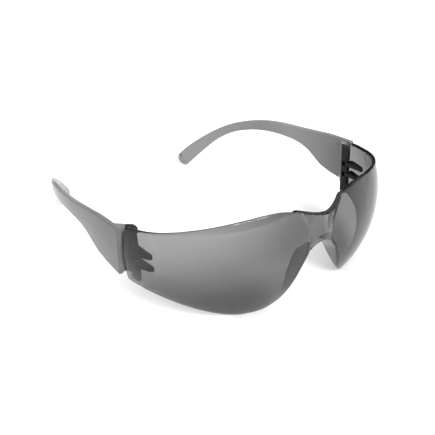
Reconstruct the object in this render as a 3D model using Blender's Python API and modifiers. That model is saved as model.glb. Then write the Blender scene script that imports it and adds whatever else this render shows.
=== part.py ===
"""Wraparound safety glasses: a one-piece lens shield and two temples that fold on hinge pins.

X runs across the face, the wearer looks along -Y, and Z is up. The glasses stand open on Z = 0,
on the lens's lower edge and the temple tips.
"""
import math

import bmesh
import bpy
from mathutils import Matrix, Vector

MM = 0.001

# Clearances between pieces that touch on the real object.
GAP = 0.3 * MM
BORE_CLEARANCE = 0.2 * MM

# The lens shield: two spherical halves, each with its centre behind one eye, joined at the nose.
LENS_RADIUS = 54.0 * MM
LENS_THICKNESS = 2.2 * MM
SPHERE_X = 14.7 * MM
SPHERE_Y = -27.7 * MM
SPHERE_Z = 30.7 * MM
NOSE_ANGLE = -15.8
NOSE_COLUMN_END = 14.0
REAR_ANGLE = 79.0
REAR_LEAN = 0.15
REAR_TOP = 45.0 * MM
BRIDGE_COLUMNS = 5
NOSE_COLUMNS = 15
SIDE_COLUMNS = 20
LENS_ROWS = 8

# The bridge is a saddle between two creases, each an arc of a circle in the front view.
CREASE_X = 27.8 * MM
CREASE_Z = 30.0 * MM
CREASE_RADIUS = 21.6 * MM
CREASE_LOW = 26.0 * MM
CREASE_ANGLE = -9.0
MERGE_ANGLE = 20.0
BRIDGE_Y = -82.1 * MM
BRIDGE_TILT = 0.15

# Edge heights of the shield in millimetres against the angle round the half's sphere in degrees.
TOP_EDGE = ((-15.8, 42.6), (-13.7, 42.9), (-12.3, 43.3), (-11.0, 43.8), (-10.0, 44.4), (-9.0, 45.2),
            (-6.5, 46.5), (-4.5, 47.1), (0.1, 47.8), (5.8, 48.1), (13.6, 48.2), (21.0, 48.0),
            (30.2, 47.3), (47.6, 45.1), (63.7, 42.8), (79.0, 41.5))
BOTTOM_EDGE = ((-15.8, 28.9), (-12.5, 28.2), (-9.4, 26.0), (-7.2, 23.2), (-5.0, 20.0), (-1.8, 13.4),
               (0.9, 8.5), (3.7, 4.7), (7.5, 1.8), (12.7, -0.1), (19.2, -0.5), (26.8, 0.5),
               (34.0, 2.6), (47.3, 7.5), (60.9, 11.8), (71.1, 14.0), (79.0, 15.0))
GRAVITY_LINE = 0.0

# The nose flanges stand back from the lower edge on each side of the nose, and climb at the crease.
FLANGE_DEPTHS = ((-11.0, 3.0), (-9.4, 5.8), (-7.2, 7.9), (-3.5, 7.2), (-1.1, 5.3), (1.0, 3.5),
                 (3.2, 1.6))
FLANGE_CLIMB = 2.0 * MM
FLANGE_STATIONS = 16
FLANGE_THICKNESS = 1.5 * MM
FLANGE_ROOT = 0.7 * MM
FLANGE_INSET = 0.15 * MM
FLANGE_LEAN = 0.18

# The hinge pin, and the knuckles round it.
PIN_X = 62.5 * MM
PIN_Y = -38.1 * MM
PIN_RADIUS = 0.5 * MM
KNUCKLE_RADIUS = 1.2 * MM
ROUND_SIDES = 24

# Two fins inside each end of the lens carry the pin and pass into slots in the temple's bar.
FIN_HEIGHTS = (25.6 * MM, 31.2 * MM)
FIN_THICKNESS = 2.0 * MM
FIN_LENGTH = 10.6 * MM
FIN_TIP = 0.9 * MM
FIN_EMBED = 0.9 * MM

# The hinge bar at the front of each temple, inside the lens.
BAR_TOP = 40.4 * MM
BAR_BOTTOM = 19.2 * MM
BAR_TAPER = 2.8 * MM
SLOT_DEPTH = 2.2 * MM
SHOULDER_X = 64.3 * MM
SHOULDER_Y = 4.7 * MM
WEDGE_END = 9.2 * MM

# A foot under the bar carries its line down to the lens's lower edge; the pin stands on the bar's floor.
FOOT_BOTTOM = 15.4 * MM
FOOT_FLARE = 0.8 * MM
FOOT_END = 4.3 * MM
BAR_FLOOR = 1.0 * MM
PIN_END_GAP = 0.2 * MM

# The temple arm: distance behind the pin, height of its centreline and its depth, in millimetres.
ARM_STATIONS = ((4.0, 29.7, 23.0), (18.1, 30.7, 20.8), (23.1, 31.1, 19.0), (27.9, 32.3, 15.8),
                (32.9, 33.7, 12.2), (39.1, 34.6, 9.4), (49.1, 34.9, 7.7), (63.1, 34.4, 6.4),
                (76.1, 32.5, 5.5), (89.1, 28.6, 5.1), (100.1, 22.3, 5.8), (109.6, 14.2, 7.6),
                (115.6, 8.2, 8.5), (118.8, 4.6, 8.6))
ARM_FACE_LEAN = -0.13
ARM_THICKNESS = 2.3 * MM
ARM_CHAMFER = 0.5 * MM
ARM_OUTER_X = 68.3 * MM
ARM_BEND_START = 40.0
ARM_BEND_RATE = 0.00182
ARM_BEND_POWER = 2.2
ARM_SECTIONS = 34
TIP_SECTIONS = 6

# Smoke polycarbonate for the lens and temples, stainless steel for the pins.
LENS_COLOUR = (0.30, 0.30, 0.31, 1.0)
TEMPLE_COLOUR = (0.42, 0.42, 0.43, 1.0)
PIN_COLOUR = (0.45, 0.46, 0.47, 1.0)


def clear_scene():
    for item in list(bpy.data.objects):
        bpy.data.objects.remove(item, do_unlink=True)
    for block in list(bpy.data.meshes):
        bpy.data.meshes.remove(block)


def make_collection(name):
    group = bpy.data.collections.new(name)
    bpy.context.scene.collection.children.link(group)
    return group


def make_material(name, colour, roughness, metallic, transmission):
    material = bpy.data.materials.new(name)
    material.use_nodes = True
    shader = material.node_tree.nodes["Principled BSDF"]
    shader.inputs["Base Color"].default_value = colour
    shader.inputs["Roughness"].default_value = roughness
    shader.inputs["Metallic"].default_value = metallic
    shader.inputs["Transmission Weight"].default_value = transmission
    shader.inputs["IOR"].default_value = 1.585
    return material


def smooth(stations, at, column=1):
    """Cubic curve through the stations, read at one place along the first column."""
    last = len(stations) - 1
    at = min(max(at, stations[0][0]), stations[last][0])
    index = 0
    while index < last - 1 and at > stations[index + 1][0]:
        index += 1

    def slope(i):
        before, after = stations[max(i - 1, 0)], stations[min(i + 1, last)]
        return (after[column] - before[column]) / (after[0] - before[0])

    start, end = stations[index], stations[index + 1]
    width = end[0] - start[0]
    t = (at - start[0]) / width
    return ((2 * t**3 - 3 * t**2 + 1) * start[column] + (t**3 - 2 * t**2 + t) * width * slope(index)
            + (3 * t**2 - 2 * t**3) * end[column] + (t**3 - t**2) * width * slope(index + 1))


def new_object(name, mesh, group, material):
    item = bpy.data.objects.new(name, mesh)
    group.objects.link(item)
    if material:
        mesh.materials.append(material)
    return item


def mesh_from(name, build):
    """Run a bmesh builder and return its mesh with faces pointing out."""
    form = bmesh.new()
    build(form)
    bmesh.ops.recalc_face_normals(form, faces=form.faces)
    mesh = bpy.data.meshes.new(name)
    form.to_mesh(mesh)
    form.free()
    return mesh


def loft(form, rings):
    """Skin equal closed rings of points and cap both ends."""
    loops = [[form.verts.new(point) for point in ring] for ring in rings]
    count = len(loops[0])
    for near, far in zip(loops, loops[1:]):
        for i in range(count):
            j = (i + 1) % count
            form.faces.new((near[i], near[j], far[j], far[i]))
    form.faces.new(loops[0])
    form.faces.new(loops[-1])


def prism(form, outline, low, high):
    """Extrude a plan outline between two heights."""
    loft(form, [[Vector((x, y, z)) for x, y in outline] for z in (low, high)])


def apply_modifiers(item):
    """Bake the object's modifiers into its own mesh."""
    graph = bpy.context.evaluated_depsgraph_get()
    baked = bpy.data.meshes.new_from_object(item.evaluated_get(graph))
    item.modifiers.clear()
    item.data = baked


def cut(item, tool, operation):
    """Boolean the item with a tool object, which stays hidden in the cutter collection."""
    modifier = item.modifiers.new(operation.title(), "BOOLEAN")
    modifier.operation = operation
    modifier.solver = "MANIFOLD"
    modifier.object = tool
    tool.hide_render = True
    tool.display_type = "WIRE"
    apply_modifiers(item)


# ---------------------------------------------------------------- lens

def crease_x(height):
    """Distance of the nose crease from the centre plane."""
    rise = max(height, CREASE_LOW) - CREASE_Z
    return CREASE_X - math.sqrt(CREASE_RADIUS**2 - rise**2)


def sphere_y(x, height):
    return SPHERE_Y - math.sqrt(LENS_RADIUS**2 - (height - SPHERE_Z)**2 - (x - SPHERE_X)**2)


def surface_point(angle, height, side):
    """A point on the shield's front surface, at an angle from the nose round to the hinge."""
    crease = crease_x(height)
    if angle < CREASE_ANGLE:
        share = (angle - NOSE_ANGLE) / (CREASE_ANGLE - NOSE_ANGLE)
        middle = BRIDGE_Y - BRIDGE_TILT * (height - CREASE_Z)
        y = middle + (sphere_y(crease, height) - middle) * share**2
        return Vector((side * crease * share, y, height))
    ring = math.sqrt(LENS_RADIUS**2 - (height - SPHERE_Z)**2)
    centre = -math.asin(SPHERE_X / ring)
    spread = math.radians(REAR_ANGLE + REAR_LEAN * (REAR_TOP - height) / MM) - centre

    def turn_at(at):
        return centre + spread * (at - NOSE_ANGLE) / (REAR_ANGLE - NOSE_ANGLE)
    shift = math.asin((crease - SPHERE_X) / ring) - turn_at(CREASE_ANGLE)
    fade = max(0.0, (MERGE_ANGLE - angle) / (MERGE_ANGLE - CREASE_ANGLE))
    turn = turn_at(angle) + shift * fade
    return Vector((side * (SPHERE_X + ring * math.sin(turn)), SPHERE_Y - ring * math.cos(turn), height))


def column_angles():
    angles = [NOSE_ANGLE]
    for end, count in ((CREASE_ANGLE, BRIDGE_COLUMNS), (NOSE_COLUMN_END, NOSE_COLUMNS),
                       (REAR_ANGLE, SIDE_COLUMNS)):
        start = angles[-1]
        angles += [start + (end - start) * (i + 1) / count for i in range(count)]
    return angles


def build_shield(form):
    angles = column_angles()
    columns = [(angle, -1) for angle in reversed(angles[1:])] + [(angle, 1) for angle in angles]
    grid = []
    for angle, side in columns:
        low, high = smooth(BOTTOM_EDGE, angle) * MM, smooth(TOP_EDGE, angle) * MM
        grid.append([form.verts.new(surface_point(angle, low + (high - low) * row / LENS_ROWS, side))
                     for row in range(LENS_ROWS + 1)])
    for left, right in zip(grid, grid[1:]):
        for row in range(LENS_ROWS):
            form.faces.new((left[row], right[row], right[row + 1], left[row + 1]))


def flange_base(angle, side):
    """The line the flange stands on: the lower edge as far as the crease, then up the crease."""
    at = max(angle, CREASE_ANGLE)
    height = smooth(BOTTOM_EDGE, at) * MM + FLANGE_CLIMB * (at - angle)
    return surface_point(at, height, side)


def build_flange(side):
    """A ledge that runs back from the nose edge of one lens half and leans in to the nose."""
    def build(form):
        rings = []
        back = Vector((-side * FLANGE_LEAN, 1, 0)).normalized()
        near, far = FLANGE_INSET, FLANGE_INSET + FLANGE_THICKNESS
        first, last = FLANGE_DEPTHS[0][0], FLANGE_DEPTHS[-1][0]
        for i in range(FLANGE_STATIONS + 1):
            angle = first + (last - first) * i / FLANGE_STATIONS
            base = flange_base(angle, side)
            along = flange_base(angle + 0.3, side) - flange_base(angle - 0.3, side)
            inside = back.cross(along).normalized()
            if inside.x * side + inside.z < 0:
                inside = -inside
            depth = smooth(FLANGE_DEPTHS, angle) * MM
            corners = ((FLANGE_ROOT, near), (depth, near), (depth, far), (FLANGE_ROOT, far))
            rings.append([base + back * reach + inside * shift for reach, shift in corners])
        loft(form, rings)
    return build


def wall_x(y, height):
    """Distance from the centre plane to the shield's inner face at the hinge."""
    inner = LENS_RADIUS - LENS_THICKNESS
    return SPHERE_X + math.sqrt(inner**2 - (y - SPHERE_Y)**2 - (height - SPHERE_Z)**2)


def build_fin(side, height):
    """A flat plate from the lens wall to a round eye on the pin."""
    def build(form):
        tip_y = PIN_Y - FIN_LENGTH
        outline = [(wall_x(tip_y, height) + FIN_EMBED, tip_y), (wall_x(tip_y, height) - FIN_TIP, tip_y)]
        steps = ROUND_SIDES // 4
        for i in range(2 * steps + 1):
            turn = math.pi - math.pi / 2 * i / steps
            outline.append((PIN_X + KNUCKLE_RADIUS * math.cos(turn), PIN_Y + KNUCKLE_RADIUS * math.sin(turn)))
        for i in range(5):
            y = PIN_Y - FIN_LENGTH * i / 5
            outline.append((wall_x(y, height) + FIN_EMBED, y))
        prism(form, [(side * x, y) for x, y in outline], height - FIN_THICKNESS / 2, height + FIN_THICKNESS / 2)
    return build


def build_post(side, radius, low, high):
    """A round post on the hinge axis."""
    def build(form):
        where = Matrix.Translation((side * PIN_X, PIN_Y, (low + high) / 2))
        bmesh.ops.create_cone(form, cap_ends=True, segments=ROUND_SIDES, radius1=radius, radius2=radius,
                              depth=high - low, matrix=where)
    return build


def build_block(low_corner, high_corner):
    def build(form):
        low, high = Vector(low_corner), Vector(high_corner)
        size = high - low
        where = Matrix.Translation((low + high) / 2) @ Matrix.Diagonal((size.x, size.y, size.z, 1))
        bmesh.ops.create_cube(form, size=1, matrix=where)
    return build


def make_lens(parts, tools, material):
    lens = new_object("lens", mesh_from("lens", build_shield), parts, material)
    shell = lens.modifiers.new("Shell", "SOLIDIFY")
    shell.thickness = LENS_THICKNESS
    shell.offset = -1
    shell.use_even_offset = True
    apply_modifiers(lens)
    for side, word in ((-1, "left"), (1, "right")):
        flange = new_object(f"flange_{word}", mesh_from("flange", build_flange(side)), tools, None)
        cut(lens, flange, "UNION")
        for number, height in enumerate(FIN_HEIGHTS):
            fin = new_object(f"fin_{word}_{number}", mesh_from("fin", build_fin(side, height)), tools, None)
            cut(lens, fin, "UNION")
        bore = new_object(f"fin_bore_{word}", mesh_from("bore", build_bore(side)), tools, None)
        cut(lens, bore, "DIFFERENCE")
    floor = build_block((-0.1, -0.12, -0.01), (0.1, 0.0, GRAVITY_LINE))
    cut(lens, new_object("rest_plane", mesh_from("floor", floor), tools, None), "DIFFERENCE")
    return lens


# ---------------------------------------------------------------- temples

def arm_x(distance):
    """Plan centreline of the arm: straight past the temple, then bending in behind the ear."""
    bend = max(distance - ARM_BEND_START, 0.0)
    return ARM_OUTER_X - ARM_BEND_RATE * bend**ARM_BEND_POWER * MM


def arm_frame(distance):
    """Centre, direction, thickness direction and height direction of the arm at one place."""
    def top(at):
        height = smooth(ARM_STATIONS, at) + smooth(ARM_STATIONS, at, 2) / 2
        return Vector((arm_x(at), PIN_Y + at * MM, height * MM))
    step = 0.25
    along = (top(distance + step) - top(distance - step)).normalized()
    thick = Vector((along.y, -along.x, 0)).normalized()
    centre = Vector((arm_x(distance), PIN_Y + distance * MM, smooth(ARM_STATIONS, distance) * MM))
    return centre, along, thick, thick.cross(along)


def section(centre, thick, tall, depth, thickness):
    """An eight-sided section with chamfered corners."""
    half, wide = depth / 2, thickness / 2
    chamfer = min(ARM_CHAMFER, half * 0.6)
    corners = ((wide, half - chamfer), (wide - chamfer, half), (chamfer - wide, half), (-wide, half - chamfer),
               (-wide, chamfer - half), (chamfer - wide, -half), (wide - chamfer, -half), (wide, chamfer - half))
    return [centre + thick * a + tall * b for a, b in corners]


def build_arm(side):
    def build(form):
        first, last = ARM_STATIONS[0][0], ARM_STATIONS[-1][0]
        rings = []
        for i in range(ARM_SECTIONS + 1):
            distance = first + (last - first) * i / ARM_SECTIONS
            centre, along, thick, tall = arm_frame(distance)
            if i == 0:
                tall = Vector((0, ARM_FACE_LEAN, 1))
            depth = smooth(ARM_STATIONS, distance, 2) * MM
            rings.append(section(centre, thick, tall, depth, ARM_THICKNESS))
        centre, along, thick, tall = arm_frame(last - 0.5)
        radius = ARM_STATIONS[-1][2] * MM / 2
        for i in range(1, TIP_SECTIONS):
            turn = math.pi / 2 * i / TIP_SECTIONS
            rings.append(section(centre + along * radius * math.sin(turn), thick, tall,
                                 2 * radius * math.cos(turn), ARM_THICKNESS * (0.55 + 0.45 * math.cos(turn))))
        for ring in rings:
            for point in ring:
                point.x *= side
        loft(form, rings)
    return build


def build_bar(side):
    """The bar inside the lens: a wedge that widens forward from the arm to the knuckle."""
    def build(form):
        outline = [(PIN_X - KNUCKLE_RADIUS, PIN_Y)]
        steps = ROUND_SIDES // 4
        for i in range(1, 2 * steps):
            turn = math.pi + math.pi / 2 * i / steps
            outline.append((PIN_X + KNUCKLE_RADIUS * math.cos(turn), PIN_Y + KNUCKLE_RADIUS * math.sin(turn)))
        outline += [(PIN_X + KNUCKLE_RADIUS, PIN_Y), (SHOULDER_X, PIN_Y + SHOULDER_Y),
                    (ARM_OUTER_X, PIN_Y + SHOULDER_Y), (ARM_OUTER_X, PIN_Y + WEDGE_END),
                    (ARM_OUTER_X - ARM_THICKNESS / 2 - GAP, PIN_Y + WEDGE_END),
                    (PIN_X - KNUCKLE_RADIUS, PIN_Y + BAR_TAPER)]
        prism(form, [(side * x, y) for x, y in outline], BAR_BOTTOM, BAR_TOP)
    return build


def bar_inner_x(back):
    """Inner face of the bar at a distance behind the pin."""
    start, end = PIN_X - KNUCKLE_RADIUS, ARM_OUTER_X - ARM_THICKNESS / 2 - GAP
    return start + (end - start) * (back - BAR_TAPER) / (WEDGE_END - BAR_TAPER)


def build_foot(side):
    """The thin foot under the bar, which stays behind the pin so that it clears the lens as it turns."""
    def build(form):
        outline = [(PIN_X - KNUCKLE_RADIUS, PIN_Y), (PIN_X, PIN_Y), (PIN_X + FOOT_FLARE, PIN_Y + FOOT_END),
                   (bar_inner_x(FOOT_END), PIN_Y + FOOT_END), (PIN_X - KNUCKLE_RADIUS, PIN_Y + BAR_TAPER)]
        prism(form, [(side * x, y) for x, y in outline], FOOT_BOTTOM, BAR_BOTTOM + BAR_FLOOR / 2)
    return build


def build_bore(side):
    """The pin's bore, blind at the bar's floor."""
    return build_post(side, PIN_RADIUS + BORE_CLEARANCE, BAR_BOTTOM + BAR_FLOOR, BAR_TOP + 5 * MM)


def make_temple(word, side, parts, tools, material):
    temple = new_object(f"temple_{word}", mesh_from("temple", build_arm(side)), parts, material)
    for name, build in (("bar", build_bar(side)), ("foot", build_foot(side))):
        cut(temple, new_object(f"{name}_{word}", mesh_from(name, build), tools, None), "UNION")
    for number, height in enumerate(FIN_HEIGHTS):
        half = FIN_THICKNESS / 2 + GAP
        low = (-0.1, PIN_Y - 0.01, height - half)
        high = (0.1, PIN_Y + SLOT_DEPTH, height + half)
        slot = new_object(f"slot_{word}_{number}", mesh_from("slot", build_block(low, high)), tools, None)
        cut(temple, slot, "DIFFERENCE")
    bore = new_object(f"bar_bore_{word}", mesh_from("bore", build_bore(side)), tools, None)
    cut(temple, bore, "DIFFERENCE")
    return temple


def make_pin(word, side, parts, material):
    low = BAR_BOTTOM + BAR_FLOOR + PIN_END_GAP
    pin = build_post(side, PIN_RADIUS, low, BAR_TOP - GAP)
    return new_object(f"hinge_pin_{word}", mesh_from("pin", pin), parts, material)


def set_origin(item, place):
    """Move the object's origin to a place without moving its mesh in the world."""
    item.data.transform(Matrix.Translation(-place))
    item.location = place


def main():
    clear_scene()
    parts = make_collection("safety_glasses")
    tools = make_collection("cutters")
    lens_material = make_material("lens", LENS_COLOUR, 0.05, 0.0, 0.8)
    temple_material = make_material("temple", TEMPLE_COLOUR, 0.15, 0.0, 0.6)
    pin_material = make_material("hinge_pin", PIN_COLOUR, 0.3, 1.0, 0.0)
    make_lens(parts, tools, lens_material)
    for side, word in ((-1, "left"), (1, "right")):
        axis = Vector((side * PIN_X, PIN_Y, BAR_BOTTOM))
        temple = make_temple(word, side, parts, tools, temple_material)
        set_origin(temple, axis)
        pin = make_pin(word, side, parts, pin_material)
        set_origin(pin, axis)


main()
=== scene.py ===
"""Looks for the safety glasses: smoke polycarbonate lens and temples with steel hinge pins.

X runs across the face, the wearer looks along -Y, Z is up, and lengths are in metres.
"""

import math

import bmesh
import bpy
from mathutils import Matrix, Vector


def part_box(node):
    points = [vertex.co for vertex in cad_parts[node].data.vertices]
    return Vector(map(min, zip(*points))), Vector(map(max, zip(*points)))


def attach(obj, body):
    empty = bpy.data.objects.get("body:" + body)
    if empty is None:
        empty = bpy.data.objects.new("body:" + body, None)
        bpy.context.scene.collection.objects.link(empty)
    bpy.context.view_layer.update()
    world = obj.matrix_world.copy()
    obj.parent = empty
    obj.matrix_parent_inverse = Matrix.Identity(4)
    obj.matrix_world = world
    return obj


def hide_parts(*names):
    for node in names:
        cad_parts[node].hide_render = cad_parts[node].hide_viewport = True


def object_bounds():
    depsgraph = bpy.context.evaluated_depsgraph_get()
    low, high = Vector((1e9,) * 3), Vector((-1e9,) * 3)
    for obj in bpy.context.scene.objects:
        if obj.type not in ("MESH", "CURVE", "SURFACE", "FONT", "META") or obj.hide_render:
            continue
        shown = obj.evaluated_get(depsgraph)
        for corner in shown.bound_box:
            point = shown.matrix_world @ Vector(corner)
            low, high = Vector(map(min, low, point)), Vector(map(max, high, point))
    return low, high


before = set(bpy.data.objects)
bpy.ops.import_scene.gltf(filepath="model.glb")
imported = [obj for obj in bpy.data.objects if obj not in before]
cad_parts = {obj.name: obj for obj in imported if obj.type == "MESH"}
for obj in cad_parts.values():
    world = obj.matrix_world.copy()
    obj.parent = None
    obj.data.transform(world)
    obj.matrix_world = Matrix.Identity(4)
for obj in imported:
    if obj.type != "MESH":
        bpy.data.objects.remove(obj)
cad_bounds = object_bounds()

MM = 0.001
GAP = 0.3 * MM
BORE_CLEARANCE = 0.2 * MM
BORE_OVERRUN = 5.0 * MM

# The lens wall: two spherical halves joined by a saddle at the nose.
LENS_RADIUS = 54.0 * MM
LENS_THICKNESS = 2.2 * MM
SPHERE_X = 14.7 * MM
SPHERE_Y = -27.7 * MM
SPHERE_Z = 30.7 * MM
NOSE_ANGLE = -15.8
REAR_ANGLE = 79.0
REAR_LEAN = 0.15
REAR_TOP = 45.0 * MM
CREASE_X = 27.8 * MM
CREASE_Z = 30.0 * MM
CREASE_RADIUS = 21.6 * MM
CREASE_LOW = 26.0 * MM
CREASE_ANGLE = -9.0
MERGE_ANGLE = 20.0
BRIDGE_Y = -82.1 * MM
BRIDGE_TILT = 0.15
RIM_RADIUS = 0.55 * MM
RIM_STEPS = 4
LENS_ROWS = 32
# Where each run of columns ends, in degrees, and how many columns it has.
COLUMN_RUNS = ((-10.0, 12), (-9.0, 6), (-8.0, 6), (14.0, 28), (57.0, 40), (69.0, 32), (78.4, 12))
# How far to each side of a point, in degrees and in height, its surface normal is read.
NORMAL_STEP = 1.8
NORMAL_RISE = 0.3 * MM

# Edge heights in millimetres against the angle round the half's sphere in degrees.
TOP_EDGE = ((-15.8, 42.6), (-13.7, 42.9), (-12.3, 43.3), (-11.0, 43.8), (-10.0, 44.4), (-9.0, 45.2),
            (-6.5, 46.5), (-4.5, 47.1), (0.1, 47.8), (5.8, 48.1), (13.6, 48.2), (21.0, 48.0),
            (30.2, 47.3), (47.6, 45.1), (63.7, 42.8), (79.0, 41.5))
BOTTOM_EDGE = ((-15.8, 28.9), (-12.5, 28.2), (-9.4, 26.0), (-7.2, 23.2), (-5.0, 20.0), (-1.8, 13.4),
               (0.9, 8.5), (3.7, 4.7), (7.5, 1.8), (12.7, -0.1), (19.2, -0.5), (26.8, 0.5),
               (34.0, 2.6), (47.3, 7.5), (60.9, 11.8), (71.1, 14.0), (79.0, 15.0))

# A fine groove along each nose crease.
GROOVE_HALF_WIDTH = 0.6
GROOVE_DEPTH = 0.2 * MM

# A shallow round recess in the outer face round each hinge, with a fine groove at its edge.
RECESS_ANGLE = 79.0
RECESS_Z = 30.0 * MM
RECESS_RADIUS = 18.0 * MM
RECESS_EDGE = 0.7 * MM
RECESS_DEPTH = 0.08 * MM
RING_DEPTH = 0.2 * MM

# The nose flanges.
FLANGE_DEPTHS = ((-11.0, 3.0), (-9.4, 5.8), (-7.2, 7.9), (-3.5, 7.2), (-1.1, 5.3), (1.0, 3.5),
                 (3.2, 1.6))
FLANGE_CLIMB = 2.0 * MM
FLANGE_STATIONS = 56
FLANGE_THICKNESS = 1.5 * MM
FLANGE_ROOT = 0.7 * MM
FLANGE_INSET = 0.15 * MM
FLANGE_LEAN = 0.18
FLANGE_EDGE_STEPS = 6
FLANGE_STEP = 0.3

# The hinge.
PIN_X = 62.5 * MM
PIN_Y = -38.1 * MM
PIN_RADIUS = 0.5 * MM
KNUCKLE_RADIUS = 1.2 * MM
ROUND_SIDES = 48
FIN_HEIGHTS = (25.6 * MM, 31.2 * MM)
FIN_THICKNESS = 2.0 * MM
FIN_LENGTH = 10.6 * MM
FIN_TIP = 0.9 * MM
FIN_EMBED = 0.9 * MM
FIN_WALL_STEPS = 8
BAR_TOP = 40.4 * MM
BAR_BOTTOM = 19.2 * MM
BAR_TAPER = 2.8 * MM
SLOT_DEPTH = 2.2 * MM
SLOT_FRONT = 10.0 * MM
SLOT_REACH = 100.0 * MM
SHOULDER_X = 64.3 * MM
SHOULDER_Y = 4.7 * MM
WEDGE_END = 9.2 * MM
FOOT_BOTTOM = 15.4 * MM
FOOT_FLARE = 0.8 * MM
FOOT_END = 4.3 * MM
BAR_FLOOR = 1.0 * MM
SMALL_BEVEL = 0.18 * MM
PIN_BEVEL = 0.15 * MM
BEVEL_ANGLE = math.radians(40)

# The temple arm: distance behind the pin, height of its centreline and its depth, in millimetres.
ARM_STATIONS = ((4.0, 29.7, 23.0), (18.1, 30.7, 20.8), (23.1, 31.1, 19.0), (27.9, 32.3, 15.8),
                (32.9, 33.7, 12.2), (39.1, 34.6, 9.4), (49.1, 34.9, 7.7), (63.1, 34.4, 6.4),
                (76.1, 32.5, 5.5), (89.1, 28.6, 5.1), (100.1, 22.3, 5.8), (109.6, 14.2, 7.6),
                (115.6, 8.2, 8.5), (118.8, 4.6, 8.6))
ARM_FACE_LEAN = -0.13
ARM_LEAN_END = 18.0
ARM_THICKNESS = 2.3 * MM
ARM_EDGE_RADIUS = 0.6 * MM
ARM_EDGE_STEPS = 4
ARM_OUTER_X = 68.3 * MM
ARM_BEND_START = 40.0
ARM_BEND_RATE = 0.00182
ARM_BEND_POWER = 2.2
ARM_SECTIONS = 96
ARM_STEP = 0.25
TIP_SECTIONS = 16
TIP_OVERLAP = 0.5
TIP_TURN = math.radians(88)

SHARP_ANGLE = math.radians(32)

# Smoke polycarbonate. The low index keeps its reflections weak.
REFRACTIVE_INDEX = 1.42
SPECULAR_LEVEL = 0.25
SMOKE = (0.20, 0.20, 0.205, 1)

# Painted light and shade: grades of grey that multiply into the base colour in place of shadow, shade and
# highlight. Each gives the axis, the grey at the start and at the end, and where the start and the end are
# in millimetres. X is read as the distance from the centre plane.
# Lens: painted shadow, darker towards the bottom; painted shade, darker towards the nose; and a painted
# highlight on the bridge.
LENS_PAINTED_LIGHT = (("Z", 0.28, 1.0, 4.0, 26.0), ("X", 0.68, 1.0, 20.0, 58.0), ("X", 1.45, 1.0, 5.8, 7.6))
# Temples: painted shade, darker at the front and towards the back; and painted light on the inner faces.
TEMPLE_PAINTED_LIGHT = (("Y", 0.175, 0.27, -30.0, 5.0), ("X", 1.35, 1.0, 67.3, 69.3), ("Y", 1.0, 0.78, 10.0, 30.0))
# Hinge plastic: painted light, a little lighter towards the top.
HINGE_PAINTED_LIGHT = (("Z", 0.012, 0.016, 15.0, 41.0),)

# The dome light: heights of direction where it starts and ends its rise, and its two greys.
HORIZON_RISE = (0.45, 0.62)
HORIZON_GREY = 0.10
DOME_WHITE = 1.45

# The key light: place, size in metres and power in watts.
KEY_PLACE = (-0.15, -2.2, 1.6)
KEY_SIZE = (1.6, 1.2)
KEY_POWER = 88

FLOOR_RADIUS = 6.0
FLOOR_GREYS = (0.86, 0.89)

# The camera: place in metres, its three angles in degrees, and focal length and sensor in millimetres.
CAMERA_PLACE = (-0.1654, -0.2352, 0.1594)
CAMERA_AZIMUTH = -36.19
CAMERA_ELEVATION = 27.90
CAMERA_ROLL = -2.89
CAMERA_LENS = 51.72
CAMERA_SENSOR = 36


# ---------------------------------------------------------------- mesh helpers

def smooth(stations, at, column=1):
    """Cubic curve through the stations, read at one place along the first column."""
    last = len(stations) - 1
    at = min(max(at, stations[0][0]), stations[last][0])
    index = 0
    while index < last - 1 and at > stations[index + 1][0]:
        index += 1

    def slope(i):
        before, after = stations[max(i - 1, 0)], stations[min(i + 1, last)]
        return (after[column] - before[column]) / (after[0] - before[0])

    start, end = stations[index], stations[index + 1]
    width = end[0] - start[0]
    t = (at - start[0]) / width
    return ((2 * t**3 - 3 * t**2 + 1) * start[column] + (t**3 - 2 * t**2 + t) * width * slope(index)
            + (3 * t**2 - 2 * t**3) * end[column] + (t**3 - t**2) * width * slope(index + 1))


def mesh_from(name, build):
    """Run a bmesh builder and return its mesh with faces pointing out."""
    form = bmesh.new()
    build(form)
    bmesh.ops.recalc_face_normals(form, faces=form.faces)
    mesh = bpy.data.meshes.new(name)
    form.to_mesh(mesh)
    form.free()
    return mesh


def new_object(name, build):
    item = bpy.data.objects.new(name, mesh_from(name, build))
    bpy.context.scene.collection.objects.link(item)
    return item


def loft(form, rings, caps=True):
    """Skin equal closed rings of points, with flat caps at both ends if asked."""
    loops = [[form.verts.new(point) for point in ring] for ring in rings]
    count = len(loops[0])
    for near, far in zip(loops, loops[1:]):
        for i in range(count):
            j = (i + 1) % count
            form.faces.new((near[i], near[j], far[j], far[i]))
    if caps:
        form.faces.new(loops[0])
        form.faces.new(loops[-1])
    return loops


def apply_modifiers(item):
    """Bake the object's modifiers into its own mesh."""
    graph = bpy.context.evaluated_depsgraph_get()
    baked = bpy.data.meshes.new_from_object(item.evaluated_get(graph))
    item.modifiers.clear()
    item.data = baked


def bevel(item, width, segments=2):
    modifier = item.modifiers.new("Bevel", "BEVEL")
    modifier.width = width
    modifier.segments = segments
    modifier.limit_method = "ANGLE"
    modifier.angle_limit = BEVEL_ANGLE
    apply_modifiers(item)


def cut(item, tool, operation):
    """Boolean the item with a tool object and drop the tool."""
    modifier = item.modifiers.new("Cut", "BOOLEAN")
    modifier.operation = operation
    modifier.solver = "MANIFOLD"
    modifier.object = tool
    apply_modifiers(item)
    bpy.data.objects.remove(tool, do_unlink=True)


def finish_piece(item, material):
    """One material, and smooth shading with crisp edges where faces turn sharply."""
    item.data.materials.clear()
    item.data.materials.append(material)
    item.data.polygons.foreach_set("material_index", [0] * len(item.data.polygons))
    item.data.shade_smooth()
    item.data.set_sharp_from_angle(angle=SHARP_ANGLE)


def ease(value):
    """Smooth step from 0 to 1."""
    t = min(max(value, 0.0), 1.0)
    return t * t * (3 - 2 * t)


# ---------------------------------------------------------------- lens

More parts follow.
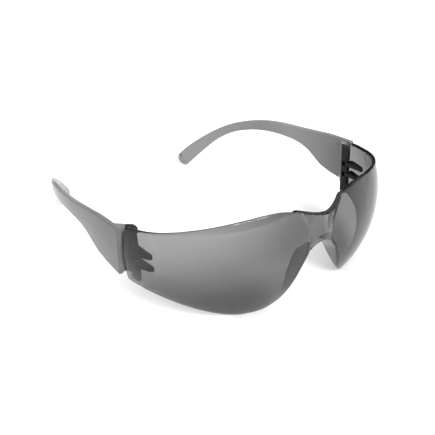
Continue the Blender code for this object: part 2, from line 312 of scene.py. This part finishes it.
def crease_x(height):
    """Distance of the nose crease from the centre plane."""
    rise = max(height, CREASE_LOW) - CREASE_Z
    return CREASE_X - math.sqrt(CREASE_RADIUS**2 - rise**2)


def sphere_y(x, height):
    return SPHERE_Y - math.sqrt(LENS_RADIUS**2 - (height - SPHERE_Z)**2 - (x - SPHERE_X)**2)


def surface_point(angle, height, side):
    """A point on the lens's front surface, at an angle from the nose round to the hinge."""
    crease = crease_x(height)
    if angle < CREASE_ANGLE:
        share = (angle - NOSE_ANGLE) / (CREASE_ANGLE - NOSE_ANGLE)
        middle = BRIDGE_Y - BRIDGE_TILT * (height - CREASE_Z)
        y = middle + (sphere_y(crease, height) - middle) * share**2
        return Vector((side * crease * share, y, height))
    ring = math.sqrt(LENS_RADIUS**2 - (height - SPHERE_Z)**2)
    centre = -math.asin(SPHERE_X / ring)
    spread = math.radians(REAR_ANGLE + REAR_LEAN * (REAR_TOP - height) / MM) - centre

    def turn_at(at):
        return centre + spread * (at - NOSE_ANGLE) / (REAR_ANGLE - NOSE_ANGLE)
    shift = math.asin((crease - SPHERE_X) / ring) - turn_at(CREASE_ANGLE)
    fade = max(0.0, (MERGE_ANGLE - angle) / (MERGE_ANGLE - CREASE_ANGLE))
    turn = turn_at(angle) + shift * fade
    return Vector((side * (SPHERE_X + ring * math.sin(turn)), SPHERE_Y - ring * math.cos(turn), height))


def surface_frame(angle, height, side):
    """A surface point with the outward normal and the upward tangent there."""
    behind, ahead = (surface_point(angle + step, height, side) for step in (-NORMAL_STEP, NORMAL_STEP))
    below, above = (surface_point(angle, height + step, side) for step in (-NORMAL_RISE, NORMAL_RISE))
    rise = above - below
    out = (ahead - behind).cross(rise).normalized()
    if out.y > 0:
        out = -out
    return surface_point(angle, height, side), out, rise.normalized()


def recess(angle, height):
    """Depth of the crease groove and the round recess in the outer face at one place."""
    along = math.radians(angle - RECESS_ANGLE) * LENS_RADIUS
    reach = math.hypot(along, height - RECESS_Z)
    groove = 1 - ease(abs(angle - CREASE_ANGLE) / GROOVE_HALF_WIDTH)
    disc = 1 - ease((reach - RECESS_RADIUS) / RECESS_EDGE + 0.5)
    ring = 1 - ease(abs(reach - RECESS_RADIUS) / RECESS_EDGE)
    return GROOVE_DEPTH * groove + RECESS_DEPTH * disc + RING_DEPTH * ring


def shell_ring(angle, side, inset):
    """Closed section of the lens wall at one angle: outer face, top rim, inner face, bottom rim."""
    low = smooth(BOTTOM_EDGE, angle) * MM + inset
    high = smooth(TOP_EDGE, angle) * MM - inset
    outer, inner = [], []
    for row in range(LENS_ROWS + 1):
        height = low + RIM_RADIUS + (high - low - 2 * RIM_RADIUS) * row / LENS_ROWS
        point, out, rise = surface_frame(angle, height, side)
        outer.append(point - out * (inset + recess(angle, height)))
        inner.append(point - out * (LENS_THICKNESS - inset))
    rims = []
    for height, way in ((high, 1), (low, -1)):
        point, out, rise = surface_frame(angle, height, side)
        corner = [(RIM_RADIUS * (1 - math.cos(turn)), RIM_RADIUS * (math.sin(turn) - 1))
                  for turn in (math.pi / 2 * (i + 1) / RIM_STEPS for i in range(RIM_STEPS))]
        outside = [point - out * (inset + deep + recess(angle, height)) + rise * way * back
                   for deep, back in corner]
        inside = [point - out * (LENS_THICKNESS - inset - deep) + rise * way * back
                  for deep, back in reversed(corner)]
        rims.append(outside + inside)
    top, bottom = rims
    ring = outer + top + inner[::-1] + bottom[::-1]
    for point in ring:
        point.z = max(point.z, 0.0)
    return ring


def column_angles():
    angles = [NOSE_ANGLE]
    for end, count in COLUMN_RUNS:
        start = angles[-1]
        angles += [start + (end - start) * (i + 1) / count for i in range(count)]
    return angles


def cap_ring(form, loop):
    """Close an end of the shell with a ladder of quads between its outer and inner faces."""
    rows = LENS_ROWS + 1
    rim = 2 * RIM_STEPS
    outer = loop[:rows]
    top = loop[rows:rows + rim]
    inner = loop[rows + rim:2 * rows + rim][::-1]
    bottom = loop[2 * rows + rim:]
    for i in range(rows - 1):
        form.faces.new((outer[i], outer[i + 1], inner[i + 1], inner[i]))
    form.faces.new([outer[-1]] + top + [inner[-1]])
    form.faces.new([inner[0]] + bottom + [outer[0]])


def build_shell(form):
    columns = [(angle, 0.0) for angle in column_angles()]
    end_start = columns[-1][0]
    for i in range(RIM_STEPS):
        turn = math.pi / 2 * (i + 1) / RIM_STEPS
        angle = end_start + (REAR_ANGLE - end_start) * math.sin(turn)
        columns.append((angle, RIM_RADIUS * (1 - math.cos(turn))))
    rings = [shell_ring(angle, -1, inset) for angle, inset in reversed(columns[1:])]
    rings += [shell_ring(angle, 1, inset) for angle, inset in columns]
    loops = loft(form, rings, caps=False)
    cap_ring(form, loops[0])
    cap_ring(form, loops[-1])


def flange_base(angle, side):
    """The line the flange stands on: the lower edge as far as the crease, then up the crease."""
    at = max(angle, CREASE_ANGLE)
    height = smooth(BOTTOM_EDGE, at) * MM + FLANGE_CLIMB * (at - angle)
    return surface_point(at, height, side)


def build_flange(side):
    """A ledge that runs back from the nose edge of one lens half, with a rounded free edge."""
    def build(form):
        rings = []
        back = Vector((-side * FLANGE_LEAN, 1, 0)).normalized()
        first, last = FLANGE_DEPTHS[0][0], FLANGE_DEPTHS[-1][0]
        radius = FLANGE_THICKNESS / 2
        for i in range(FLANGE_STATIONS + 1):
            angle = first + (last - first) * i / FLANGE_STATIONS
            base = flange_base(angle, side)
            along = flange_base(angle + FLANGE_STEP, side) - flange_base(angle - FLANGE_STEP, side)
            inside = back.cross(along).normalized()
            if inside.x * side + inside.z < 0:
                inside = -inside
            depth = smooth(FLANGE_DEPTHS, angle) * MM
            corners = [(FLANGE_ROOT, -radius)]
            for step in range(FLANGE_EDGE_STEPS + 1):
                turn = math.pi * (step / FLANGE_EDGE_STEPS - 0.5)
                corners.append((depth - radius + radius * math.cos(turn), radius * math.sin(turn)))
            corners.append((FLANGE_ROOT, radius))
            middle = FLANGE_INSET + radius
            rings.append([base + back * reach + inside * (middle + shift) for reach, shift in corners])
        loft(form, rings)
    return build


def wall_x(y, height):
    """Distance from the centre plane to the lens's inner face at the hinge."""
    inner = LENS_RADIUS - LENS_THICKNESS
    return SPHERE_X + math.sqrt(inner**2 - (y - SPHERE_Y)**2 - (height - SPHERE_Z)**2)


def prism(form, outline, low, high):
    """Extrude a plan outline between two heights."""
    loft(form, [[Vector((x, y, z)) for x, y in outline] for z in (low, high)])


def knuckle_arc(start, end, count):
    """Plan points round the hinge axis between two turns."""
    turns = [start + (end - start) * i / count for i in range(count + 1)]
    return [(PIN_X + KNUCKLE_RADIUS * math.cos(turn), PIN_Y + KNUCKLE_RADIUS * math.sin(turn))
            for turn in turns]


def build_fin(side, height):
    """A flat plate from the lens wall to a round eye on the pin."""
    def build(form):
        tip_y = PIN_Y - FIN_LENGTH
        outline = [(wall_x(tip_y, height) + FIN_EMBED, tip_y), (wall_x(tip_y, height) - FIN_TIP, tip_y)]
        outline += knuckle_arc(math.pi, 0, ROUND_SIDES // 2)
        for i in range(FIN_WALL_STEPS):
            y = PIN_Y - FIN_LENGTH * i / FIN_WALL_STEPS
            outline.append((wall_x(y, height) + FIN_EMBED, y))
        half = FIN_THICKNESS / 2
        prism(form, [(side * x, y) for x, y in outline], height - half, height + half)
    return build


def build_post(side, radius, low, high):
    """A round post on the hinge axis."""
    def build(form):
        where = Matrix.Translation((side * PIN_X, PIN_Y, (low + high) / 2))
        bmesh.ops.create_cone(form, cap_ends=True, segments=ROUND_SIDES, radius1=radius, radius2=radius,
                              depth=high - low, matrix=where)
    return build


def build_block(low_corner, high_corner):
    def build(form):
        low, high = Vector(low_corner), Vector(high_corner)
        size = high - low
        where = Matrix.Translation((low + high) / 2) @ Matrix.Diagonal((size.x, size.y, size.z, 1))
        bmesh.ops.create_cube(form, size=1, matrix=where)
    return build


def make_bore(side):
    low, high = BAR_BOTTOM + BAR_FLOOR, BAR_TOP + BORE_OVERRUN
    return new_object("bore", build_post(side, PIN_RADIUS + BORE_CLEARANCE, low, high))


def make_lens(material):
    lens = new_object("lens_shield", build_shell)
    for side in (-1, 1):
        cut(lens, new_object("flange", build_flange(side)), "UNION")
    finish_piece(lens, material)
    return lens


def make_fin(name, side, height, material):
    fin = new_object(name, build_fin(side, height))
    bevel(fin, SMALL_BEVEL)
    cut(fin, make_bore(side), "DIFFERENCE")
    finish_piece(fin, material)
    return fin


# ---------------------------------------------------------------- temples

def arm_x(distance):
    """Plan centreline of the arm: straight past the temple, then bending in behind the ear."""
    bend = max(distance - ARM_BEND_START, 0.0)
    return ARM_OUTER_X - ARM_BEND_RATE * bend**ARM_BEND_POWER * MM


def arm_frame(distance):
    """Centre, direction, thickness direction and height direction of the arm at one place."""
    def top(at):
        height = smooth(ARM_STATIONS, at) + smooth(ARM_STATIONS, at, 2) / 2
        return Vector((arm_x(at), PIN_Y + at * MM, height * MM))
    along = (top(distance + ARM_STEP) - top(distance - ARM_STEP)).normalized()
    thick = Vector((along.y, -along.x, 0)).normalized()
    centre = Vector((arm_x(distance), PIN_Y + distance * MM, smooth(ARM_STATIONS, distance) * MM))
    return centre, along, thick, thick.cross(along)


def section(centre, thick, tall, depth, thickness):
    """A rectangular section with rounded corners."""
    radius = min(ARM_EDGE_RADIUS, depth * 0.3, thickness * 0.45)
    points = []
    for corner, (a, b) in enumerate(((1, 1), (-1, 1), (-1, -1), (1, -1))):
        for i in range(ARM_EDGE_STEPS + 1):
            turn = math.pi / 2 * (corner + i / ARM_EDGE_STEPS)
            wide = a * (thickness / 2 - radius) + radius * math.cos(turn)
            high = b * (depth / 2 - radius) + radius * math.sin(turn)
            points.append(centre + thick * wide + tall * high)
    return points


def build_arm(side):
    def build(form):
        first, last = ARM_STATIONS[0][0], ARM_STATIONS[-1][0]
        rings = []
        for i in range(ARM_SECTIONS + 1):
            distance = first + (last - first) * i / ARM_SECTIONS
            centre, along, thick, tall = arm_frame(distance)
            lean = max(0.0, 1 - (distance - first) / (ARM_LEAN_END - first))
            tall = tall * (1 - lean) + Vector((0, ARM_FACE_LEAN, 1)) * lean
            depth = smooth(ARM_STATIONS, distance, 2) * MM
            rings.append(section(centre, thick, tall, depth, ARM_THICKNESS))
        centre, along, thick, tall = arm_frame(last - TIP_OVERLAP)
        radius = ARM_STATIONS[-1][2] * MM / 2
        for i in range(1, TIP_SECTIONS + 1):
            turn = TIP_TURN * i / TIP_SECTIONS
            rings.append(section(centre + along * radius * math.sin(turn), thick, tall,
                                 2 * radius * math.cos(turn), ARM_THICKNESS * math.sqrt(math.cos(turn))))
        for ring in rings:
            for point in ring:
                point.x *= side
        loft(form, rings)
    return build


def bar_inner_x(back):
    """Inner face of the bar at a distance behind the pin."""
    start, end = PIN_X - KNUCKLE_RADIUS, ARM_OUTER_X - ARM_THICKNESS / 2 - GAP
    return start + (end - start) * (back - BAR_TAPER) / (WEDGE_END - BAR_TAPER)


def build_bar(side):
    """The dark bar inside the lens, from the knuckle back to the shoulder."""
    def build(form):
        outline = knuckle_arc(math.pi, 2 * math.pi, ROUND_SIDES // 2)
        outline += [(SHOULDER_X, PIN_Y + SHOULDER_Y), (bar_inner_x(SHOULDER_Y), PIN_Y + SHOULDER_Y),
                    (PIN_X - KNUCKLE_RADIUS, PIN_Y + BAR_TAPER)]
        prism(form, [(side * x, y) for x, y in outline], BAR_BOTTOM, BAR_TOP)
    return build


def build_foot(side):
    """The thin foot under the bar, which carries its line down to the lens's lower edge."""
    def build(form):
        outline = [(PIN_X - KNUCKLE_RADIUS, PIN_Y), (PIN_X, PIN_Y), (PIN_X + FOOT_FLARE, PIN_Y + FOOT_END),
                   (bar_inner_x(FOOT_END), PIN_Y + FOOT_END), (PIN_X - KNUCKLE_RADIUS, PIN_Y + BAR_TAPER)]
        prism(form, [(side * x, y) for x, y in outline], FOOT_BOTTOM, BAR_BOTTOM + BAR_FLOOR / 2)
    return build


def build_shoulder(side):
    """The wedge that joins the arm to the back of the bar."""
    def build(form):
        front, back = PIN_Y + SHOULDER_Y, PIN_Y + WEDGE_END
        outline = [(bar_inner_x(SHOULDER_Y), front), (ARM_OUTER_X, front), (ARM_OUTER_X, back),
                   (bar_inner_x(WEDGE_END), back)]
        prism(form, [(side * x, y) for x, y in outline], BAR_BOTTOM, BAR_TOP)
    return build


def make_arm(word, side, material):
    arm = new_object(f"temple_arm_{word}", build_arm(side))
    shoulder = new_object("shoulder", build_shoulder(side))
    bevel(shoulder, SMALL_BEVEL)
    cut(arm, shoulder, "UNION")
    finish_piece(arm, material)
    return arm


def make_bar(word, side, material):
    """The hinge bar with its two slots and the pin bore."""
    bar = new_object(f"temple_bar_{word}", build_bar(side))
    cut(bar, new_object("foot", build_foot(side)), "UNION")
    bevel(bar, SMALL_BEVEL)
    for height in FIN_HEIGHTS:
        half = FIN_THICKNESS / 2 + GAP
        low = (-SLOT_REACH, PIN_Y - SLOT_FRONT, height - half)
        high = (SLOT_REACH, PIN_Y + SLOT_DEPTH, height + half)
        cut(bar, new_object("slot", build_block(low, high)), "DIFFERENCE")
    cut(bar, make_bore(side), "DIFFERENCE")
    finish_piece(bar, material)
    return bar


def make_pin(word, side, material):
    """A steel pin with chamfered ends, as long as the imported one."""
    low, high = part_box(f"hinge_pin_{word}")
    pin = new_object(f"pin_{word}", build_post(side, PIN_RADIUS, low.z, high.z))
    bevel(pin, PIN_BEVEL, 3)
    finish_piece(pin, material)
    return pin


# ---------------------------------------------------------------- materials

def plain_material(name):
    material = bpy.data.materials.new(name)
    material.use_nodes = True
    nodes = material.node_tree.nodes
    return material, material.node_tree, nodes["Principled BSDF"], nodes["Material Output"]


def noise_field(tree, scale, detail, stretch=(1, 1, 1)):
    """A noise texture in object space; its Fac output drives the rest."""
    where = tree.nodes.new("ShaderNodeTexCoord")
    mapping = tree.nodes.new("ShaderNodeMapping")
    mapping.inputs["Scale"].default_value = stretch
    noise = tree.nodes.new("ShaderNodeTexNoise")
    noise.inputs["Scale"].default_value = scale
    noise.inputs["Detail"].default_value = detail
    tree.links.new(where.outputs["Object"], mapping.inputs["Vector"])
    tree.links.new(mapping.outputs["Vector"], noise.inputs["Vector"])
    return noise.outputs["Fac"]


def ranged(tree, source, low, high, start=0.3, end=0.7):
    """Map a field to a range; the default ends suit a noise field."""
    node = tree.nodes.new("ShaderNodeMapRange")
    node.inputs["From Min"].default_value = start
    node.inputs["From Max"].default_value = end
    node.inputs["To Min"].default_value = low
    node.inputs["To Max"].default_value = high
    tree.links.new(source, node.inputs["Value"])
    return node.outputs["Result"]


def add_bump(tree, source, shader, strength, distance):
    bump = tree.nodes.new("ShaderNodeBump")
    bump.inputs["Strength"].default_value = strength
    bump.inputs["Distance"].default_value = distance
    tree.links.new(source, bump.inputs["Height"])
    tree.links.new(bump.outputs["Normal"], shader.inputs["Normal"])


def painted_light_grade(tree, axis, low, high, start, end):
    """A grey for painted light and shade that changes with the distance along one axis, the same on both
    halves.
    """
    where = tree.nodes.new("ShaderNodeTexCoord")
    split = tree.nodes.new("ShaderNodeSeparateXYZ")
    tree.links.new(where.outputs["Object"], split.inputs["Vector"])
    source = split.outputs[axis]
    if axis == "X":
        mirror = tree.nodes.new("ShaderNodeMath")
        mirror.operation = "ABSOLUTE"
        tree.links.new(source, mirror.inputs[0])
        source = mirror.outputs["Value"]
    return ranged(tree, source, low, high, start * MM, end * MM)


def paint_light_grades(material, light_grades):
    """Multiply the painted light and shade grades together into the base colour."""
    tree = material.node_tree
    field = painted_light_grade(tree, *light_grades[0])
    for grade in light_grades[1:]:
        product = tree.nodes.new("ShaderNodeMath")
        product.operation = "MULTIPLY"
        tree.links.new(field, product.inputs[0])
        tree.links.new(painted_light_grade(tree, *grade), product.inputs[1])
        field = product.outputs["Value"]
    tree.links.new(field, tree.nodes["Principled BSDF"].inputs["Base Color"])


def smoke_plastic(name, light_grades, clear, density, rough, grain_scale, bump_strength, bump_depth):
    """Smoke-tinted polycarbonate: clear or part cloudy inside, with an even grey absorption, and a base
    colour graded with painted light and shade.
    """
    material, tree, shader, output = plain_material(name)
    # Painted light and shade: the base colour is graded darker and lighter where the light falls.
    paint_light_grades(material, light_grades)
    shader.inputs["Transmission Weight"].default_value = clear
    shader.inputs["Specular IOR Level"].default_value = SPECULAR_LEVEL
    shader.inputs["IOR"].default_value = REFRACTIVE_INDEX
    grain = noise_field(tree, grain_scale, 4)
    tree.links.new(ranged(tree, grain, *rough), shader.inputs["Roughness"])
    add_bump(tree, grain, shader, bump_strength, bump_depth)
    absorb = tree.nodes.new("ShaderNodeVolumeAbsorption")
    absorb.inputs["Color"].default_value = SMOKE
    absorb.inputs["Density"].default_value = density
    tree.links.new(absorb.outputs["Volume"], output.inputs["Volume"])
    return material


def drawn_steel(name):
    """Stainless wire with fine lines along its length."""
    material, tree, shader, _ = plain_material(name)
    shader.inputs["Metallic"].default_value = 1.0
    lines = noise_field(tree, 900, 3, (1, 1, 0.04))
    ramp = tree.nodes.new("ShaderNodeValToRGB")
    ramp.color_ramp.elements[0].color = (0.36, 0.36, 0.37, 1)
    ramp.color_ramp.elements[1].color = (0.62, 0.62, 0.63, 1)
    tree.links.new(lines, ramp.inputs["Fac"])
    tree.links.new(ramp.outputs["Color"], shader.inputs["Base Color"])
    tree.links.new(ranged(tree, lines, 0.22, 0.38), shader.inputs["Roughness"])
    add_bump(tree, lines, shader, 0.2, 0.02 * MM)
    return material


def studio_floor(name):
    """White sweep paper with a very faint mottle."""
    material, tree, shader, _ = plain_material(name)
    shader.inputs["Roughness"].default_value = 0.9
    shader.inputs["Specular IOR Level"].default_value = 0.0
    mottle = noise_field(tree, 6, 3)
    ramp = tree.nodes.new("ShaderNodeValToRGB")
    for element, grey in zip(ramp.color_ramp.elements, FLOOR_GREYS):
        element.color = (grey, grey, grey, 1)
    tree.links.new(mottle, ramp.inputs["Fac"])
    tree.links.new(ramp.outputs["Color"], shader.inputs["Base Color"])
    return material


# ---------------------------------------------------------------- stage

def add_light(name, where, aim, size, power):
    light = bpy.data.lights.new(name, "AREA")
    light.shape = "RECTANGLE"
    light.size, light.size_y = size
    light.energy = power
    item = bpy.data.objects.new(name, light)
    item.location = where
    item.rotation_euler = (Vector(aim) - Vector(where)).to_track_quat("-Z", "Y").to_euler()
    bpy.context.scene.collection.objects.link(item)


def add_floor():
    def build(form):
        bmesh.ops.create_circle(form, cap_ends=True, segments=96, radius=FLOOR_RADIUS)
    floor = new_object("floor", build)
    floor.location.z = cad_bounds[0][2]
    floor.data.materials.append(studio_floor("floor_paper"))


def add_camera():
    camera = bpy.data.cameras.new("camera")
    camera.sensor_width = CAMERA_SENSOR
    camera.lens = CAMERA_LENS
    camera.clip_start = 0.01
    camera.clip_end = 50
    item = bpy.data.objects.new("camera", camera)
    turn = (Matrix.Rotation(math.radians(CAMERA_AZIMUTH), 4, "Z")
            @ Matrix.Rotation(math.radians(90 - CAMERA_ELEVATION), 4, "X")
            @ Matrix.Rotation(math.radians(CAMERA_ROLL), 4, "Z"))
    item.matrix_world = Matrix.Translation(CAMERA_PLACE) @ turn
    bpy.context.scene.collection.objects.link(item)
    bpy.context.scene.camera = item


def add_world():
    """A soft overhead dome that falls to grey towards the horizon."""
    world = bpy.data.worlds.new("studio")
    world.use_nodes = True
    tree = world.node_tree
    where = tree.nodes.new("ShaderNodeTexCoord")
    split = tree.nodes.new("ShaderNodeSeparateXYZ")
    ramp = tree.nodes.new("ShaderNodeValToRGB")
    low, high = ramp.color_ramp.elements
    low.position, high.position = HORIZON_RISE
    low.color = (*[HORIZON_GREY] * 3, 1)
    high.color = (*[DOME_WHITE] * 3, 1)
    tree.links.new(where.outputs["Generated"], split.inputs["Vector"])
    tree.links.new(split.outputs["Z"], ramp.inputs["Fac"])
    tree.links.new(ramp.outputs["Color"], tree.nodes["Background"].inputs["Color"])
    bpy.context.scene.world = world


def place(piece, body, node):
    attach(piece, body)
    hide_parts(node)


def main():
    # Each base colour carries painted shadow, shade and highlight from its grades.
    lens_material = smoke_plastic("smoke_lens", LENS_PAINTED_LIGHT, clear=1.0, density=690, rough=(0.0, 0.03),
                                  grain_scale=260, bump_strength=0.03, bump_depth=0.01 * MM)
    temple_material = smoke_plastic("smoke_temple", TEMPLE_PAINTED_LIGHT, clear=0.3, density=300, rough=(0.2, 0.26),
                                    grain_scale=200, bump_strength=0.02, bump_depth=0.01 * MM)
    hinge_material = smoke_plastic("smoke_hinge", HINGE_PAINTED_LIGHT, clear=0.2, density=2000, rough=(0.55, 0.65),
                                   grain_scale=500, bump_strength=0.05, bump_depth=0.02 * MM)
    pin_material = drawn_steel("drawn_steel")
    place(make_lens(lens_material), "front", "lens")
    for side, word in ((-1, "left"), (1, "right")):
        for name, height in zip(("lower", "upper"), FIN_HEIGHTS):
            fin = make_fin(f"hinge_fin_{word}_{name}", side, height, hinge_material)
            place(fin, "front", "lens")
        body = f"temple_{word}"
        place(make_arm(word, side, temple_material), body, body)
        place(make_bar(word, side, hinge_material), body, body)
        pin_node = f"hinge_pin_{word}"
        place(make_pin(word, side, pin_material), "front", pin_node)
    add_floor()
    add_camera()
    add_world()
    add_light("key", KEY_PLACE, (0, 0, 0), KEY_SIZE, KEY_POWER)
    bpy.context.scene.view_settings.view_transform = "Standard"


main()
